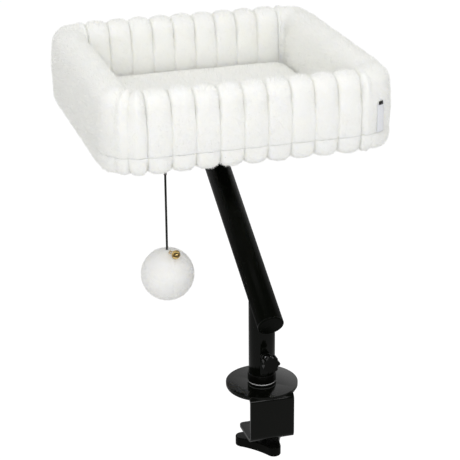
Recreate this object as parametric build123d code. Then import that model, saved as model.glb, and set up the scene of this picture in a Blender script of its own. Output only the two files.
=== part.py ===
# Desk cat bed: a ribbed plush tray on an inclined tube arm, held to a desk's edge by a screw clamp.
# Millimetres. X runs along the desk's edge, Y onto the desk, Z up. The origin is the centre of the
# face that lies on the desk, on the post's axis.
import os
from math import acos, cos, degrees, radians, sin, sqrt, tan

from build123d import *

os.makedirs("parts", exist_ok=True)

# Clearances and small values that several pieces share
run_gap = 0.05
seat_gap = 0.3
overrun = 1.0
edge_soft = 0.6

# Desk bracket: a round plate that runs into a C bent from the same sheet
sheet_t = 4.0
desk_pad_t = 2.0
desk_pad_inset = 1.0
disc_r = 48.0
bracket_w = 60.0
bend_in_r = 5.0
throat_h = 58.5
jaw_reach = 54.5
jaw_corner_r = 6.0

# Clamp screw, its nut, its lobed knob and its pressure plate
screw_y = -8.0
screw_r = 5.0
nut_flats = 17.0
nut_h = 6.0
knob_drop = 12.5
knob_h = 13.0
knob_reach = 38.0
knob_lobe_r = 9.5
knob_waist_r = 110.0
knob_lobes = 3
knob_turn = 40.0
knob_soft = 1.2
knob_hub_r = 13.0
knob_hub_h = 2.5
screw_grip = 10.0
press_face_drop = 26.5
press_r = 17.0
press_plate_t = 5.0
press_pad_t = 2.0
tip_r = 3.5
tip_h = 3.0

# Spigot, its bolt and the swivel's washers
spigot_gap = 0.05
spigot_h = 54.0
spigot_chamfer = 1.5
bolt_r = 4.0
bolt_head_r = 8.0
bolt_grip = 16.0
slide_washer_r = 18.3
slide_washer_t = 2.0
steel_ring_r = 18.6
steel_ring_t = 1.5

# Post, collar and arm, all of one tube
tube_r = 17.5
tube_wall = 1.5
collar_t = 1.5
collar_h = 12.0
arm_cross_z = 126.7
arm_lean = 60.3
arm_tail = 45.0
cope_trim = 5.0
cap_t = 3.0
cap_plug_h = 12.0
cap_plug_wall = 2.0
cap_round = 1.4

# Star knob that locks the swivel
star_z = 50.0
star_stud_r = 4.0
star_bush_r = 7.0
star_bush_out = 5.0
star_back = 13.5
star_h = 11.5
star_hub_r = 6.0
star_hub_h = 3.0
star_core_r = 9.6
star_lobe_at = 9.0
star_lobe_r = 2.9
star_lobes = 7
star_bore_h = 8.0
lock_groove_d = 1.5
lock_groove_w = 9.0
lock_gap = 0.15
lock_tip_h = 3.0

# Tray bed: overall size and ribs
bed_y = 212.0
bed_w = 392.0
bed_d = 388.0
bed_bottom_z = 305.5
base_t = 24.0
wall_h = 83.5
wall_t = 46.0
wall_foot_r = 6.0
inner_corner_r = 8.0
rib_pitch = 31.6
rib_depth = 9.0
side_rib_pitch = 46.7
side_rib_depth = 2.5
corner_rib_count = 3
corner_rib_depth = 7.0
base_rib_depth = 13.0
base_corner_depth = 7.0
base_edge_inset = 10.0

# Inside the bed
board_margin = 31.0
board_t = 9.0
board_lift = 3.5
board_corner_r = 20.0
core_t = 18.0
core_h = 60.0
core_lift = 5.0
core_end = 6.0
mat_t = 10.0
mat_inset = 9.0
mat_corner_r = 24.0
mat_edge_inset = 3.0
mat_crown = 2.0

# Mounting plate under the bed, its screws and the nuts in the board
plate_w = 130.0
plate_t = 3.0
plate_corner_r = 10.0
plate_bolt_edge = 15.0
plate_screw_r = 3.0
plate_head_r = 5.5
plate_head_h = 3.2
board_nut_r = 4.3
board_nut_flange_r = 9.0
board_nut_flange_t = 1.5

# Sewn tag over the first groove of the front right corner
tag_w = 12.0
tag_h = 38.0
tag_t = 0.8
tag_top_drop = 44.0

# Hanging toy
toy_x = -104.5
toy_y = 85.0
eye_flange_r = 6.0
eye_flange_t = 1.2
eye_ring_r = 3.8
eye_wire_r = 0.9
link_ring_r = 4.2
link_wire_r = 0.8
cord_r = 1.5
cord_loop_r = 3.6
ball_r = 35.0
ball_z = 140.75
ball_seat_r = 3.0

# Bell that lies on the ball, held by its link to a staple
bell_r = 5.8
bell_wall = 0.5
bell_band_w = 1.0
bell_band_out = 0.3
bell_slot_w = 1.4
bell_slot_rim = 2.0
bell_hole_r = 1.2
bell_pellet_r = 1.9
bell_polar = 32.0
bell_turn = 17.7
bell_link_r = 4.0
bell_wire_r = 0.5
staple_r = 1.8
staple_wire_r = 0.4
staple_lift = 0.2

# Where a rib's sections lie between its two grooves
rib_place_shares = (0.0, 0.035, 0.14, 0.32, 0.5, 0.68, 0.86, 0.965)
# The base cushion's edge: shares of its height, of its edge inset and of its groove depth
base_height_shares = (0.0, 0.08, 0.25, 0.5, 0.75, 0.92, 1.0)
base_inset_shares = (1.0, 0.45, 0.12, 0.0, 0.05, 0.25, 0.6)
base_groove_shares = (1.0, 1.0, 0.93, 0.75, 0.6, 0.6, 0.6)
# How far a rib between unequal grooves is drawn in, so that it keeps inside the outer line
crest_draw_share = 0.15

# Places worked out from the sizes above
disc_top = desk_pad_t + sheet_t
chord_y = -sqrt(disc_r**2 - (bracket_w / 2) ** 2)
bend_out_r = bend_in_r + sheet_t
front_y = chord_y - bend_out_r
jaw_top = desk_pad_t - throat_h
jaw_bottom = jaw_top - sheet_t
jaw_end = front_y + jaw_reach
knob_top = jaw_bottom - knob_drop
screw_foot = knob_top - screw_grip
press_face = -press_face_drop
press_bottom = press_face - press_pad_t - press_plate_t
washer_top = disc_top + slide_washer_t
post_foot = washer_top + steel_ring_t
tube_bore = tube_r - tube_wall
spigot_r = tube_bore - spigot_gap
lean = radians(arm_lean)
arm_dir = Vector(0, sin(lean), cos(lean))
arm_cross = Vector(0, 0, arm_cross_z)
arm_start = -arm_tail
arm_end = bed_y / sin(lean) + arm_tail
arm_at_bed_z = arm_cross_z + bed_y / tan(lean)
bush_in = spigot_r + seat_gap
lock_face = spigot_r - lock_groove_d + lock_gap
base_top = bed_bottom_z + base_t
bed_top = base_top + wall_h
bed_center = Vector(0, bed_y, 0)
plate_bottom = bed_bottom_z - plate_t
corner_r = wall_t + inner_corner_r
board_w = bed_w - 2 * board_margin
board_d = bed_d - 2 * board_margin
board_bottom = bed_bottom_z + board_lift
board_top = board_bottom + board_t
bolt_at = plate_w / 2 - plate_bolt_edge
bolt_places = [(x, bed_y + y) for x in (-bolt_at, bolt_at) for y in (-bolt_at, bolt_at)]
up = Vector(0, 0, 1)
parts = {}


def tube(radius, bore, length):
    """A round tube along Z, from zero up."""
    return extrude(Circle(radius), length) - extrude(Circle(bore), length)


def along_arm(start, length, radius):
    """A round bar along the arm's axis, measured from where that axis crosses the post's."""
    plane = Plane(origin=arm_cross + arm_dir * start, z_dir=arm_dir)
    return extrude(plane * Circle(radius), length)


def toward_front(start):
    """Turns a piece made along Z to run from the post's axis to the front, at the star knob's height."""
    return Pos(0, -start, star_z) * Rot(90, 0, 0)


def ring(center, axis, radius, wire_r):
    """A closed wire ring."""
    return Plane(origin=center, z_dir=axis) * Torus(radius, wire_r)


# Desk bracket
def make_bracket():
    height = disc_top - jaw_bottom
    outer = Pos(front_y + jaw_reach / 2, jaw_bottom + height / 2) * Rectangle(jaw_reach, height)
    outer = fillet(outer.vertices().group_by(Axis.X)[0], bend_out_r)
    throat = jaw_reach - sheet_t + overrun
    inner = Pos(front_y + sheet_t + throat / 2, jaw_top + throat_h / 2) * Rectangle(throat, throat_h)
    inner = fillet(inner.vertices().group_by(Axis.X)[0], bend_in_r)
    solid = extrude(Plane.YZ * (outer - inner), bracket_w / 2, both=True)
    solid += Pos(0, 0, desk_pad_t) * extrude(Circle(disc_r), sheet_t)
    upright = solid.edges().filter_by(Axis.Z)
    solid = fillet([edge for edge in upright if abs(edge.center().Y - jaw_end) < run_gap], jaw_corner_r)
    solid -= Pos(0, screw_y, jaw_bottom) * extrude(Circle(screw_r + seat_gap), sheet_t)
    foot = (Align.CENTER, Align.CENTER, Align.MIN)
    return solid - Pos(0, 0, desk_pad_t) * Cone(bolt_head_r + run_gap, bolt_r + run_gap, sheet_t, align=foot)


parts["clamp_bracket"] = make_bracket()

# Rubber sheet under the round plate, cut short of the bend
keep = Pos(0, chord_y + disc_r, 0) * Box(2 * disc_r, 2 * disc_r, 2 * desk_pad_t)
parts["desk_pad"] = extrude(Circle(disc_r - desk_pad_inset), desk_pad_t) & keep

# Spigot in the post's foot, with the groove that the locking tip runs in
spigot = Pos(0, 0, disc_top) * extrude(Circle(spigot_r), spigot_h)
spigot = chamfer(spigot.edges().filter_by(GeomType.CIRCLE).group_by(Axis.Z)[-1], spigot_chamfer)
groove = tube(spigot_r + overrun, spigot_r - lock_groove_d, lock_groove_w)
spigot -= Pos(0, 0, star_z - lock_groove_w / 2) * groove
spigot -= Pos(0, 0, disc_top) * extrude(Circle(bolt_r + run_gap), bolt_grip)
parts["swivel_spigot"] = spigot

# Countersunk bolt from the plate's underside into the spigot
bolt = Cone(bolt_head_r, bolt_r, sheet_t, align=(Align.CENTER, Align.CENTER, Align.MIN))
bolt += Pos(0, 0, sheet_t) * extrude(Circle(bolt_r), bolt_grip)
parts["spigot_bolt"] = Pos(0, 0, desk_pad_t) * bolt

# The two washers that the post turns on
parts["slide_washer"] = Pos(0, 0, disc_top) * tube(slide_washer_r, tube_bore, slide_washer_t)
parts["steel_ring"] = Pos(0, 0, washer_top) * tube(steel_ring_r, tube_bore, steel_ring_t)

# Nut welded on the lower jaw
nut = extrude(RegularPolygon(nut_flats / 2, 6, major_radius=False), nut_h)
nut -= extrude(Circle(screw_r + run_gap), nut_h)
parts["jaw_nut"] = Pos(0, screw_y, jaw_top) * nut

# Pressure plate with its socket, and the rubber face on it
press_plate = extrude(Circle(press_r), press_plate_t)
press_plate = fillet(press_plate.edges().group_by(Axis.Z)[0], edge_soft)
press_plate -= extrude(Circle(tip_r + run_gap), tip_h + seat_gap)
parts["pressure_plate"] = Pos(0, screw_y, press_bottom) * press_plate
press_pad = extrude(Circle(press_r), press_pad_t)
press_pad = fillet(press_pad.edges().group_by(Axis.Z)[-1], edge_soft)
parts["pressure_pad"] = Pos(0, screw_y, press_face - press_pad_t) * press_pad

# Clamp screw, from its grip in the knob to its reduced tip
screw = Pos(0, screw_y, screw_foot) * extrude(Circle(screw_r), press_bottom - screw_foot)
screw += Pos(0, screw_y, press_bottom) * extrude(Circle(tip_r), tip_h)
parts["clamp_screw"] = screw


# Lobed knob: round lobes joined by slightly hollow flanks
def lobed_face():
    lobe_at = knob_reach - knob_lobe_r
    step = 360 / knob_lobes
    half_gap = lobe_at * sin(radians(step / 2))
    flank_at = sqrt((knob_waist_r + knob_lobe_r) ** 2 - half_gap**2) + lobe_at * cos(radians(step / 2))
    spokes = [knob_turn + step * lobe for lobe in range(knob_lobes)]
    lobe_centers = [Vector(lobe_at, 0).rotate(Axis.Z, spoke) for spoke in spokes]
    flank_centers = [Vector(flank_at, 0).rotate(Axis.Z, spoke + step / 2) for spoke in spokes]
    edges = []
    for lobe, center in enumerate(lobe_centers):
        before, after = flank_centers[lobe - 1], flank_centers[lobe]
        following = lobe_centers[(lobe + 1) % knob_lobes]
        start = center + (before - center).normalized() * knob_lobe_r
        tip = center + center.normalized() * knob_lobe_r
        end = center + (after - center).normalized() * knob_lobe_r
        waist = after - after.normalized() * knob_waist_r
        landing = following + (after - following).normalized() * knob_lobe_r
        edges += [ThreePointArc(start, tip, end), ThreePointArc(end, waist, landing)]
    return make_face(Wire(edges))


knob = extrude(lobed_face(), knob_h)
knob = fillet(knob.edges().group_by(Axis.Z)[0] + knob.edges().group_by(Axis.Z)[-1], knob_soft)
knob += Pos(0, 0, -knob_hub_h) * extrude(Circle(knob_hub_r), knob_hub_h)
knob -= Pos(0, 0, knob_h - screw_grip) * extrude(Circle(screw_r + run_gap), screw_grip)
parts["clamp_knob"] = Pos(0, screw_y, knob_top - knob_h) * knob

# Post: coped to the underside of the arm, bored for the star knob's bush
arm_space = along_arm(arm_start, arm_end - arm_start, tube_r + run_gap)
post = Pos(0, 0, post_foot) * tube(tube_r, tube_bore, arm_cross_z - cope_trim - post_foot)
post -= toward_front(0) * extrude(Circle(star_bush_r + run_gap), tube_r + overrun)
parts["post_tube"] = post - arm_space

# Collar round the post's foot
collar = tube(tube_r + collar_t, tube_r + run_gap, collar_h)
collar = fillet(collar.edges().group_by(Axis.Z)[-1].sort_by(SortBy.LENGTH)[-1], edge_soft)
parts["post_collar"] = Pos(0, 0, post_foot) * collar

# Arm tube
arm_length = arm_end - arm_start - 2 * cap_t
arm = along_arm(arm_start + cap_t, arm_length, tube_r)
parts["arm_tube"] = arm - along_arm(arm_start + cap_t, arm_length, tube_bore)

# Plastic caps in the arm's two ends
cap = extrude(Circle(tube_r), cap_t)
cap = fillet(cap.edges().group_by(Axis.Z)[0], cap_round)
plug_r = tube_bore - run_gap
cap += Pos(0, 0, cap_t) * tube(plug_r, plug_r - cap_plug_wall, cap_plug_h)
parts["lower_arm_cap"] = Plane(origin=arm_cross + arm_dir * arm_start, z_dir=arm_dir) * cap
parts["upper_arm_cap"] = Plane(origin=arm_cross + arm_dir * arm_end, z_dir=-arm_dir) * cap

# Stem: stands on the arm, coped to it, and carries the mounting plate
stem_foot = arm_at_bed_z + cope_trim
stem = Pos(0, bed_y, stem_foot) * tube(tube_r, tube_bore, plate_bottom - stem_foot)
parts["bed_stem"] = stem - arm_space

# Threaded bush through the post's wall
bush = tube(star_bush_r, star_stud_r + run_gap, tube_r + star_bush_out - bush_in)
parts["star_bush"] = toward_front(bush_in) * bush

# Locking tip that runs in the spigot's groove, the star knob and its stud
lock_tip = extrude(Circle(star_stud_r - lock_gap), lock_tip_h)
parts["lock_tip"] = toward_front(lock_face) * lock_tip
stud_start = lock_face + lock_tip_h
star_start = tube_r + star_back
stud = extrude(Circle(star_stud_r), star_start + star_bore_h - stud_start)
parts["star_stud"] = toward_front(stud_start) * stud
star = Circle(star_core_r)
for lobe in range(star_lobes):
    star += Rot(0, 0, 360 * lobe / star_lobes) * Pos(star_lobe_at, 0) * Circle(star_lobe_r)
head = extrude(star, star_h - star_hub_h)
head = fillet(head.edges().group_by(Axis.Z)[-1], edge_soft)
head = Pos(0, 0, star_hub_h) * head + extrude(Circle(star_hub_r), star_hub_h)
head -= extrude(Circle(star_stud_r + run_gap), star_bore_h)
parts["star_knob"] = toward_front(star_start) * head

# Mounting plate welded on the stem
plate = Pos(0, bed_y, plate_bottom) * extrude(RectangleRounded(plate_w, plate_w, plate_corner_r), plate_t)
for x, y in bolt_places:
    plate -= Pos(x, y, plate_bottom) * extrude(Circle(plate_screw_r + seat_gap), plate_t)
parts["mounting_plate"] = plate

# Board inside the base cushion
board = Pos(0, bed_y, board_bottom) * extrude(RectangleRounded(board_w, board_d, board_corner_r), board_t)
for x, y in bolt_places:
    board -= Pos(x, y, board_bottom) * extrude(Circle(board_nut_r + run_gap), board_t)
parts["base_board"] = board

# Flanged nuts in the board, and the screws that hold the plate to it
board_nut = tube(board_nut_r, plate_screw_r + run_gap, board_t)
board_nut += Pos(0, 0, board_t) * tube(board_nut_flange_r, plate_screw_r + run_gap, board_nut_flange_t)
parts["board_nuts"] = Compound([Pos(x, y, board_bottom) * board_nut for x, y in bolt_places])
screw_head = extrude(Circle(plate_head_r), plate_head_h)
screw_head = fillet(screw_head.edges().group_by(Axis.Z)[0], edge_soft)
plate_screw = extrude(Circle(plate_screw_r), board_top - plate_bottom) + Pos(0, 0, -plate_head_h) * screw_head
parts["plate_screws"] = Compound([Pos(x, y, plate_bottom) * plate_screw for x, y in bolt_places])


def side_frame(side):
    """One side of the bed, 0 for the front and on anticlockwise: its outward and forward directions,
    half its straight run, its distance from the bed's centre, and its ribs' count and depth."""
    turn = radians(90 * side - 90)
    outward = Vector(cos(turn), sin(turn), 0)
    reach = (bed_w if side % 2 else bed_d) / 2
    half_run = (bed_d if side % 2 else bed_w) / 2 - corner_r
    pitch, depth = (side_rib_pitch, side_rib_depth) if side % 2 else (rib_pitch, rib_depth)
    return outward, up.cross(outward), half_run, reach, round(2 * half_run / pitch), depth


def groove_share(place):
    """How deep a point of a rib lies, from 1 in the groove to 0 on the crest."""
    return 1 - sqrt(1 - (2 * place - 1) ** 2)


def rib_stations(count, depth):
    """Places from 0 to count along a run of ribs, each with its inset."""
    places = [(rib + share, depth * groove_share(share)) for rib in range(count) for share in rib_place_shares]
    return places + [(count, depth)]


def wall_section(origin, outward, inset):
    """The wall's cross-section, with a round foot and a half-round crest, drawn in by an inset."""
    plane = Plane(origin=origin, x_dir=-outward, z_dir=up.cross(outward))
    outer, inner = inset, wall_t - inset
    crest_r = (inner - outer) / 2
    shoulder = bed_top - inset - crest_r
    foot = base_top + wall_foot_r
    foot_outer, foot_inner = outer + wall_foot_r, inner - wall_foot_r
    outline = [
        Line((foot_outer, base_top), (foot_inner, base_top)),
        CenterArc((foot_inner, foot), wall_foot_r, -90, 90),
        Line((inner, foot), (inner, shoulder)),
        CenterArc((wall_t / 2, shoulder), crest_r, 0, 90),
        CenterArc((wall_t / 2, shoulder), crest_r, 90, 90),
        Line((outer, shoulder), (outer, foot)),
        CenterArc((foot_outer, foot), wall_foot_r, 180, 90),
    ]
    return plane * make_face(Wire(outline))


def straight_wall(side):
    """One straight wall: ribbed across the front and back, gently rippled along the sides."""
    outward, forward, half_run, reach, count, depth = side_frame(side)
    sections = []
    for place, inset in rib_stations(count, depth):
        at = forward * (half_run * (2 * place / count - 1))
        sections.append(wall_section(bed_center + outward * reach + at, outward, inset))
    return loft(sections, ruled=True)


def corner_roll(side):
    """The corner at a side's forward end, turned about the corner's centre in equal ribs."""
    outward, forward, half_run, reach, count, depth = side_frame(side)
    center = bed_center + outward * (reach - corner_r) + forward * half_run
    sections = []
    for place, inset in rib_stations(corner_rib_count, corner_rib_depth):
        facing = outward.rotate(Axis.Z, 90 * place / corner_rib_count)
        sections.append(wall_section(center + facing * corner_r, facing, inset))
    return loft(sections, ruled=True)


def foam_core(side, gap):
    """The foam slab that keeps a straight wall upright, or with a gap the pocket that holds it."""
    outward, forward, half_run, reach, count, depth = side_frame(side)
    center = bed_center + outward * (reach - wall_t / 2) + up * (base_top + core_lift + core_h / 2)
    plane = Plane(origin=center, x_dir=forward, z_dir=up)
    return plane * Box(2 * (half_run - core_end + gap), core_t + 2 * gap, core_h + 2 * gap)


def rib_arc(low, high, place_at):
    """The arc of one rib of the base cushion between two grooves, place_at giving a point by its depth."""
    crest = crest_draw_share * abs(high - low)
    return ThreePointArc(place_at(0, low), place_at(1 / 2, crest), place_at(1, high))


def base_outline(inset, groove):
    """The base cushion's plan, drawn in by an inset, with its ribs' grooves at a share of their depth."""
    edges = []
    junction = groove * base_corner_depth
    for side in range(4):
        outward, forward, half_run, reach, count, depth = side_frame(side)
        inner_depth = groove * (side_rib_depth if side % 2 else base_rib_depth)
        depths = [junction] + [inner_depth] * (count - 1) + [junction]
        for rib in range(count):

            def on_run(share, draw):
                at = half_run * (2 * (rib + share) / count - 1)
                return bed_center + forward * at + outward * (reach - inset - draw)

            edges.append(rib_arc(depths[rib], depths[rib + 1], on_run))
        center = bed_center + outward * (reach - corner_r) + forward * half_run
        for rib in range(corner_rib_count):

            def on_corner(share, draw):
                facing = outward.rotate(Axis.Z, 90 * (rib + share) / corner_rib_count)
                return center + facing * (corner_r - inset - draw)

            edges.append(rib_arc(junction, junction, on_corner))
    return make_face(Wire(edges))


def base_cushion():
    """The bed's padded floor with ribbed edges, hollow for the board and bored for its screws."""
    sections = []
    for height, inset, groove in zip(base_height_shares, base_inset_shares, base_groove_shares):
        outline = base_outline(inset * base_edge_inset, groove)
        sections.append(Pos(0, 0, bed_bottom_z + height * base_t) * outline)
    solid = loft(sections, ruled=True)
    hollow = RectangleRounded(board_w + 2 * seat_gap, board_d + 2 * seat_gap, board_corner_r + seat_gap)
    solid -= Pos(0, bed_y, board_bottom) * extrude(hollow, board_t + board_nut_flange_t)
    for x, y in bolt_places:
        solid -= Pos(x, y, bed_bottom_z) * extrude(Circle(plate_screw_r + seat_gap), board_lift)
    return solid


# Soft bed: base cushion, four walls with their foam, four corners and the loose mat
parts["base_cushion"] = base_cushion()
for side, name in enumerate(("front", "right", "back", "left")):
    parts[name + "_foam"] = foam_core(side, 0)
    parts[name + "_wall"] = straight_wall(side) - foam_core(side, seat_gap)
for side, name in enumerate(("front_right", "back_right", "back_left", "front_left")):
    parts[name + "_corner"] = corner_roll(side)

mat_w = bed_w - 2 * (wall_t + mat_inset)
mat_d = bed_d - 2 * (wall_t + mat_inset)
flank_h = mat_t - mat_crown
mat_layers = ((0, mat_edge_inset), (mat_edge_inset, 0), (flank_h - mat_edge_inset, 0), (flank_h, mat_edge_inset))
mat_sections = []
for height, inset in mat_layers:
    outline = RectangleRounded(mat_w - 2 * inset, mat_d - 2 * inset, mat_corner_r - inset)
    mat_sections.append(Pos(0, bed_y, base_top + height) * outline)
crown = RectangleRounded(mat_w - 2 * mat_corner_r, mat_d - 2 * mat_corner_r, mat_corner_r)
mat_sections.append(Pos(0, bed_y, base_top + mat_t) * crown)
parts["floor_mat"] = loft(mat_sections, ruled=True)

# Plain tag that bridges the first groove of the front right corner
tag_turn = 90 / corner_rib_count
tag_edge = degrees(tag_w / 2 / corner_r)
rib_reach = corner_r - corner_rib_depth * groove_share(tag_edge / tag_turn)
tag_reach = rib_reach * cos(radians(tag_edge)) + seat_gap + tag_t / 2
outward, forward, half_run, reach, count, depth = side_frame(0)
tag_facing = outward.rotate(Axis.Z, tag_turn)
tag_center = bed_center + outward * (reach - corner_r) + forward * half_run + tag_facing * tag_reach
tag_center += up * (bed_top - tag_top_drop - tag_h / 2)
parts["corner_tag"] = Plane(origin=tag_center, x_dir=tag_facing, z_dir=up) * Box(tag_t, tag_w, tag_h)

# Eye under the bed, and the link that hangs in it
eye_z = bed_bottom_z - eye_flange_t - eye_ring_r
link_pivot_z = eye_z - eye_ring_r
link_z = link_pivot_z + eye_wire_r + link_wire_r + seat_gap - link_ring_r
eye = Pos(toy_x, toy_y, bed_bottom_z - eye_flange_t) * extrude(Circle(eye_flange_r), eye_flange_t)
parts["toy_eye"] = eye + ring((toy_x, toy_y, eye_z), Vector(0, 1, 0), eye_ring_r, eye_wire_r)
parts["toy_link"] = ring((toy_x, toy_y, link_z), Vector(1, 0, 0), link_ring_r, link_wire_r)

# Cord with its loop through the link, taut down to the ball
cord_pivot_z = link_z - link_ring_r
loop_z = cord_pivot_z + link_wire_r + cord_r + seat_gap - cord_loop_r
cord_top_z = loop_z - cord_loop_r
ball_seat_z = ball_z + sqrt(ball_r**2 - ball_seat_r**2)
cord = Pos(toy_x, toy_y, ball_seat_z) * extrude(Circle(cord_r), cord_top_z - ball_seat_z)
parts["toy_cord"] = cord + ring((toy_x, toy_y, loop_z), Vector(0, 1, 0), cord_loop_r, cord_r)

# Bell's place: it lies on the ball, and its link reaches uphill to the staple
ball_center = Vector(toy_x, toy_y, ball_z)
heading = Vector(sin(radians(bell_turn)), -cos(radians(bell_turn)), 0)
bell_hinge = heading.cross(up)
bell_far = ball_r + bell_r + bell_band_out + seat_gap
pivot_far = ball_r + bell_wire_r + seat_gap
link_span = 2 * bell_link_r + bell_r
span_turn = degrees(acos((bell_far**2 + pivot_far**2 - link_span**2) / (2 * bell_far * pivot_far)))
staple_out = up.rotate(Axis((0, 0, 0), -bell_hinge), bell_polar - span_turn)
bell_center = ball_center + up.rotate(Axis((0, 0, 0), -bell_hinge), bell_polar) * bell_far
bell_pivot = ball_center + staple_out * pivot_far
bell_along = (bell_center - bell_pivot).normalized()
staple_center = ball_center + staple_out * (ball_r + staple_lift)

# Plush ball with a flat for the cord and a seat for the staple
ball = Pos(toy_x, toy_y, ball_z) * Sphere(ball_r)
ball -= Pos(toy_x, toy_y, ball_seat_z) * extrude(Circle(ball_seat_r + overrun), ball_r)
parts["toy_ball"] = ball - ring(staple_center, bell_hinge, staple_r, staple_wire_r + run_gap)
parts["ball_staple"] = ring(staple_center, bell_hinge, staple_r, staple_wire_r)

# Bell shell with its band, slot and link, and the pellet inside
shell = Sphere(bell_r) + Pos(0, 0, -bell_band_w / 2) * extrude(Circle(bell_r + bell_band_out), bell_band_w)
shell -= Sphere(bell_r - bell_wall)
shell -= Pos(0, 0, bell_slot_rim + bell_r / 2) * Box(2 * bell_r, bell_slot_w, bell_r)
shell -= Pos(0, 0, bell_slot_rim) * Rot(0, 90, 0) * Cylinder(bell_hole_r, 2 * bell_r)
shell = Plane(origin=bell_center, x_dir=bell_hinge, z_dir=bell_along) * shell
link_center = bell_pivot + bell_along * bell_link_r
parts["bell_shell"] = shell + ring(link_center, bell_along.cross(bell_hinge), bell_link_r, bell_wire_r)
pellet_center = bell_center - up * (bell_r - bell_wall - bell_pellet_r - seat_gap)
parts["bell_pellet"] = Plane(origin=pellet_center) * Sphere(bell_pellet_r)

for name, shape in parts.items():
    export_step(shape, f"parts/{name}.step")
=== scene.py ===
# Desk cat bed, dressed over its CAD frame: the pieces follow in the order in which the bed is put together.
# Metres, in the frame of the part: X along the desk's edge, Y onto the desk, Z up from the desk's top.
from functools import partial
from math import cos, hypot, pi, radians, sin

import bmesh
import bpy
from mathutils import Matrix, Vector, noise
from mathutils.bvhtree import BVHTree


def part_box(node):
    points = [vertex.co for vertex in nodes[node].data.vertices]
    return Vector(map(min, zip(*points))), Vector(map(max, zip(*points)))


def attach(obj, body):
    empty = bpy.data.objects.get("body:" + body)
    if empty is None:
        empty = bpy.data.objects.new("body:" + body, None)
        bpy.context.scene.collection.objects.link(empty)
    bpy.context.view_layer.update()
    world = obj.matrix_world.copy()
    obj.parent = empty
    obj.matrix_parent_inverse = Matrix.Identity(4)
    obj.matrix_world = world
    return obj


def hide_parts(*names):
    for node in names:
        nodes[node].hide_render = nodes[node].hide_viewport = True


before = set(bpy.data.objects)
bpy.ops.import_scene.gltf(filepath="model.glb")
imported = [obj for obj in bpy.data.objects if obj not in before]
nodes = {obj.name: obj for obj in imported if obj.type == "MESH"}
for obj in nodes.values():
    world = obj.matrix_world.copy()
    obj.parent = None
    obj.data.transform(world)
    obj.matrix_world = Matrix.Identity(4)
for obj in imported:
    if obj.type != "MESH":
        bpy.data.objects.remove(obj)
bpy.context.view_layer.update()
scene = bpy.context.scene

# Camera: in front of the desk, a little to the left of the post and above the bed's floor, where the
# photograph was taken from. Its place and focal length were fitted to the tubes, the plate and the bed.
camera_data = bpy.data.cameras.new("camera")
camera_data.lens = 125.115
camera_data.sensor_width = 36
camera_data.shift_x = -0.00065
camera_data.clip_end = 100
camera = bpy.data.objects.new("camera", camera_data)
camera_right = Vector((0.9571, -0.2896, -0.0077))
camera_up = Vector((0.1163, 0.3596, 0.9258))
camera_back = camera_right.cross(camera_up)
turned = Matrix((camera_right, camera_up, camera_back)).transposed()
camera.matrix_world = Matrix.Translation((-0.5836, -1.8098, 0.9998)) @ turned.to_4x4()
scene.collection.objects.link(camera)
scene.camera = camera


# Desk bracket: a round plate and a C-shaped clamp, bent from one 4 mm steel sheet, its edges rounded by
# tumbling, then powder coated in semi-gloss black.
def piece_from(name, mesh, material, body, replaces=()):
    """A finished piece at the origin, in its material, on its body."""
    piece = bpy.data.objects.new(name, mesh)
    scene.collection.objects.link(piece)
    mesh.materials.clear()
    mesh.materials.append(material)
    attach(piece, body)
    if replaces:
        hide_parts(*replaces)
    return piece


def softened(node, name, edge, material, body, angle=28, segments=2):
    """A copy of a CAD piece, merged and with its sharp edges rounded, in place of that piece."""
    mesh = nodes[node].data.copy()
    shape = bmesh.new()
    shape.from_mesh(mesh)
    bmesh.ops.remove_doubles(shape, verts=shape.verts, dist=2e-6)
    bmesh.ops.dissolve_limit(shape, angle_limit=radians(0.4), verts=shape.verts, edges=shape.edges)
    for face in shape.faces:
        face.smooth = True
    shape.to_mesh(mesh)
    shape.free()
    piece = piece_from(name, mesh, material, body, [node])
    bevel = piece.modifiers.new("rounded edges", "BEVEL")
    bevel.limit_method = "ANGLE"
    bevel.angle_limit = radians(angle)
    bevel.width = edge
    bevel.segments = segments
    bevel.harden_normals = True
    return piece


def feed(tree, node, inputs):
    """Gives a node its inputs, each a value or another node's output."""
    for name, value in dict(inputs).items():
        if isinstance(value, bpy.types.NodeSocket):
            tree.links.new(value, node.inputs[name])
        else:
            node.inputs[name].default_value = value


def new_node(tree, kind, inputs=(), **settings):
    """A new node in a tree, with its settings and then its inputs."""
    node = tree.nodes.new(kind)
    for name, value in settings.items():
        setattr(node, name, value)
    feed(tree, node, inputs)
    return node


def math_node(tree, operation, *values):
    """A math node's result, each value a number or another node's output."""
    return new_node(tree, "ShaderNodeMath", enumerate(values), operation=operation).outputs[0]


def shader(name, color, roughness, metallic=0.0, specular=0.5):
    """A material with one Principled shader, and that shader."""
    material = bpy.data.materials.new(name)
    material.use_nodes = True
    surface = material.node_tree.nodes["Principled BSDF"]
    feed(material.node_tree, surface, {
        "Base Color": (*color, 1), "Roughness": roughness, "Metallic": metallic,
        "Specular IOR Level": specular})
    return material, surface


def group_sockets(tree, inputs, outputs):
    """Named sockets of a node group: inputs with their type and value, and outputs with their type."""
    for name, kind, value in inputs:
        socket = tree.interface.new_socket(name=name, in_out="INPUT", socket_type="NodeSocket" + kind)
        if value is not None:
            socket.default_value = value
    for name, kind in outputs:
        tree.interface.new_socket(name=name, in_out="OUTPUT", socket_type="NodeSocket" + kind)
    return tree.nodes.new("NodeGroupInput").outputs, tree.nodes.new("NodeGroupOutput")


# The coat's orange peel and the faint patches of handling are one group, that every hard finish uses
finish_group = bpy.data.node_groups.new("hard_finish", "ShaderNodeTree")
given, out = group_sockets(
    finish_group,
    [("Grain size", "Float", 0.001), ("Patch size", "Float", 0.03), ("Smooth", "Float", 0.2),
     ("Rough", "Float", 0.4), ("Color", "Color", (0.5, 0.5, 0.5, 1)),
     ("Worn color", "Color", (0.5, 0.5, 0.5, 1))],
    [("Height", "Float"), ("Roughness", "Float"), ("Color", "Color")])


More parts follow.
